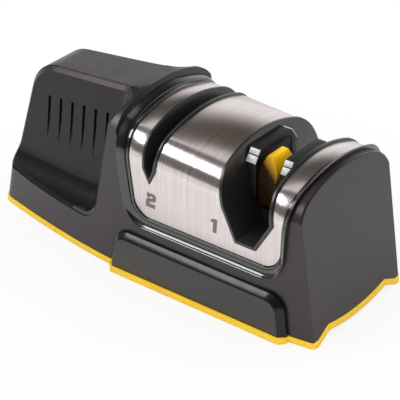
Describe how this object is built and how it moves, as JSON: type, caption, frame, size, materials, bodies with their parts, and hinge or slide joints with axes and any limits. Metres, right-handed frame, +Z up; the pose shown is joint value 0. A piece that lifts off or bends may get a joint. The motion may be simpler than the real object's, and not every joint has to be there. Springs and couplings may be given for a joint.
{
  "type": "manual knife sharpener",
  "caption": "Free-standing pull-through knife sharpener: black grip, brushed steel cover with a diamond slot and a ceramic honing slot, rocking yellow blade guide, yellow base.",
  "frame": {"origin": "on the ground under the middle of the object's box", "axes": "+X towards the sharpening end, -Y to the front with the numbered slots, +Z up"},
  "size_m": [0.1867, 0.0792, 0.0801],
  "materials": {
    "housing_black": "fine moulded texture, warm charcoal black",
    "tray_yellow": "satin yellow",
    "cover_steel": "brushed round the arch",
    "bezel_black": "gloss black",
    "liner_black": "satin black",
    "cartridge_black": "matte black",
    "diamond_grit": "fine speckled abrasive",
    "guide_yellow": "satin yellow",
    "pin_steel": "plain drawn steel",
    "hone_ceramic": "fine matte white",
    "nameplate_black": "matte face with a glossy chamfer, bare",
    "foot_rubber": "matte black",
    "screw_steel": "zinc plated"
  },
  "bodies": {
    "root": {"main_housing": "housing_black", "base_tray": "tray_yellow", "steel_cover": "cover_steel", "cover_bezel": "bezel_black", "slot_1_liner": "liner_black", "slot_2_liner": "liner_black", "sharpening_cartridge": "cartridge_black", "left_diamond_plate": "diamond_grit", "right_diamond_plate": "diamond_grit", "left_front_diamond_pads": "diamond_grit", "left_rear_diamond_pads": "diamond_grit", "right_front_diamond_pads": "diamond_grit", "right_rear_diamond_pads": "diamond_grit", "guide_pivot_pin": "pin_steel", "guide_return_spring": "pin_steel", "hone_holder": "cartridge_black", "left_hone_rod": "hone_ceramic", "right_hone_rod": "hone_ceramic", "front_nameplate": "nameplate_black", "rear_nameplate": "nameplate_black", "front_left_foot": "foot_rubber", "rear_left_foot": "foot_rubber", "front_right_foot": "foot_rubber", "rear_right_foot": "foot_rubber", "housing_screws": "screw_steel", "cartridge_screws": "screw_steel", "hone_screws": "screw_steel"},
    "guide": {"blade_guide": "guide_yellow"}
  },
  "joints": [
    {"name": "guide_rock", "type": "hinge", "parent": "root", "child": "guide", "pos_m": [0.05475, -0.006, 0.026], "axis": [-1, 0, 0], "range_deg": [0, 5], "stiffness_Nm_per_rad": 0.1, "deforming": ["guide_return_spring"]}
  ]
}
